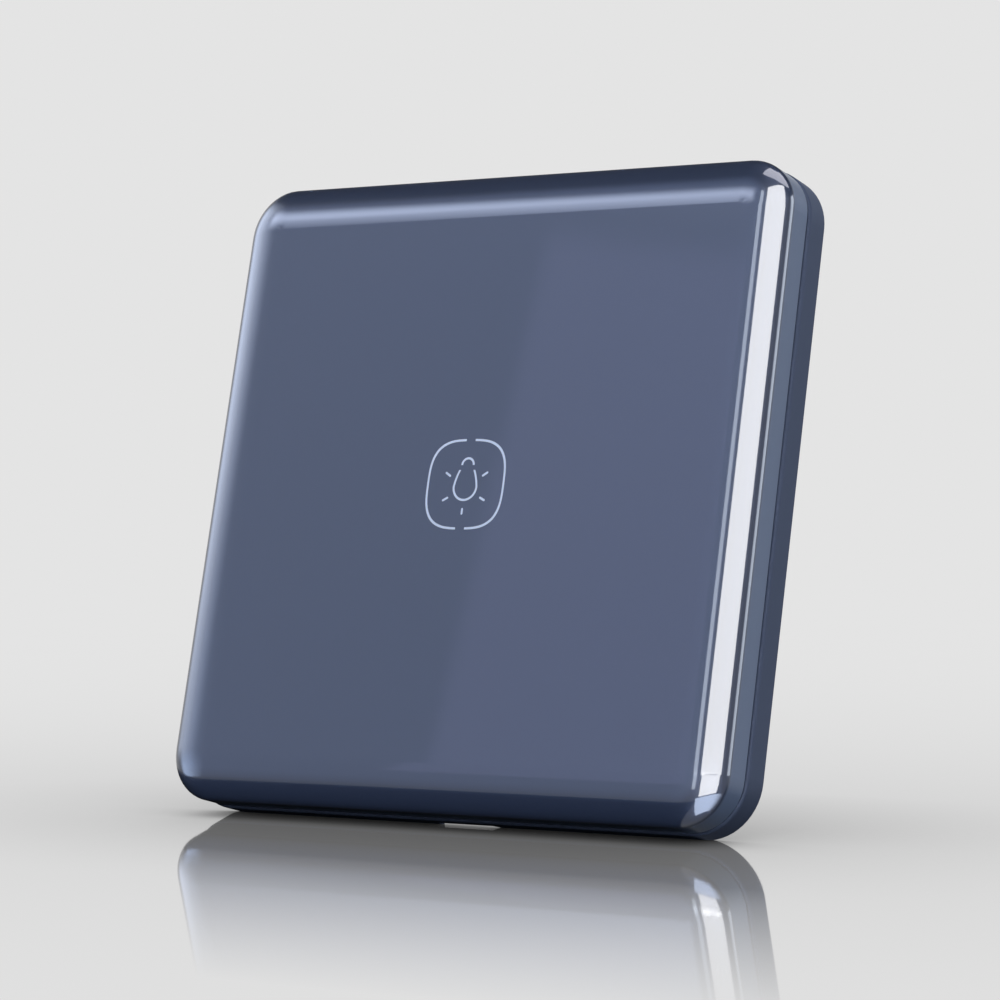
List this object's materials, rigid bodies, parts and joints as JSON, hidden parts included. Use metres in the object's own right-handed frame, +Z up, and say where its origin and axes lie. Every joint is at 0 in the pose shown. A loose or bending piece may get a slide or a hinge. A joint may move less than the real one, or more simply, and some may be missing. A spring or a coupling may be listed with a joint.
{
  "type": "wireless remote wall switch",
  "caption": "Square wireless wall switch whose glossy rounded face is one large key with a bulb icon, on a slim frame and wall plate.",
  "frame": {"origin": "middle of the flat back face that lies on the wall", "axes": "+X right seen from the front, +Y into the wall, +Z up; the key faces -Y"},
  "size_m": [0.086, 0.0105, 0.086],
  "materials": {
    "cap_blue": "slate blue acrylic, polished to a glassy gloss",
    "icon_white": "pale printed lines",
    "carrier_plastic": "dark blue moulded plastic",
    "frame_plastic": "dark blue moulded plastic, satin",
    "back_plastic": "pale grey moulded plastic",
    "board_green": "green solder mask",
    "screw_steel": "zinc plated steel",
    "switch_black": "black moulded plastic",
    "switch_lid_steel": "stamped steel",
    "plunger_plastic": "black moulded plastic",
    "solder_metal": "tinned metal",
    "cell_steel": "nickel plated steel",
    "contact_metal": "plated spring metal",
    "clip_metal": "plated spring metal",
    "chip_black": "black moulded epoxy",
    "lead_metal": "tinned metal",
    "can_metal": "nickel plated can",
    "coil_metal": "enamelled copper wire",
    "led_lens": "milky moulded light",
    "resistor_black": "dark ceramic chip parts",
    "capacitor_tan": "tan ceramic chip parts",
    "pad_rubber": "soft black rubber",
    "wall_pad_foam": "white adhesive foam"
  },
  "bodies": {
    "root": {"outer_frame": "frame_plastic", "back_plate": "back_plastic", "circuit_board": "board_green", "board_screws": "screw_steel", "switch_body": "switch_black", "switch_cover": "switch_lid_steel", "switch_legs": "solder_metal", "coin_cell": "cell_steel", "battery_contact": "contact_metal", "battery_clip": "clip_metal", "radio_chip": "chip_black", "radio_chip_leads": "lead_metal", "crystal_can": "can_metal", "resonator_can": "can_metal", "coil_antenna": "coil_metal", "status_led": "led_lens", "chip_resistors": "resistor_black", "chip_capacitors": "capacitor_tan", "stop_pads": "pad_rubber", "wall_pads": "wall_pad_foam"},
    "key": {"key_cap": "cap_blue", "icon_print": "icon_white", "key_plate": "carrier_plastic"},
    "plunger": {"switch_plunger": "plunger_plastic"}
  },
  "joints": [
    {"name": "key_press", "type": "hinge", "parent": "root", "child": "key", "pos_m": [0, -0.0044, 0.035], "axis": [1, 0, 0], "range_deg": [0, 0.2802], "stiffness_Nm_per_rad": 12},
    {"name": "plunger_press", "type": "slide", "parent": "root", "child": "plunger", "axis": [0, 1, 0], "range_m": [0, 0.000175]}
  ],
  "couplings": [
    {"joint": "plunger_press", "follows": "key_press", "m_per_rad": 0.035}
  ]
}
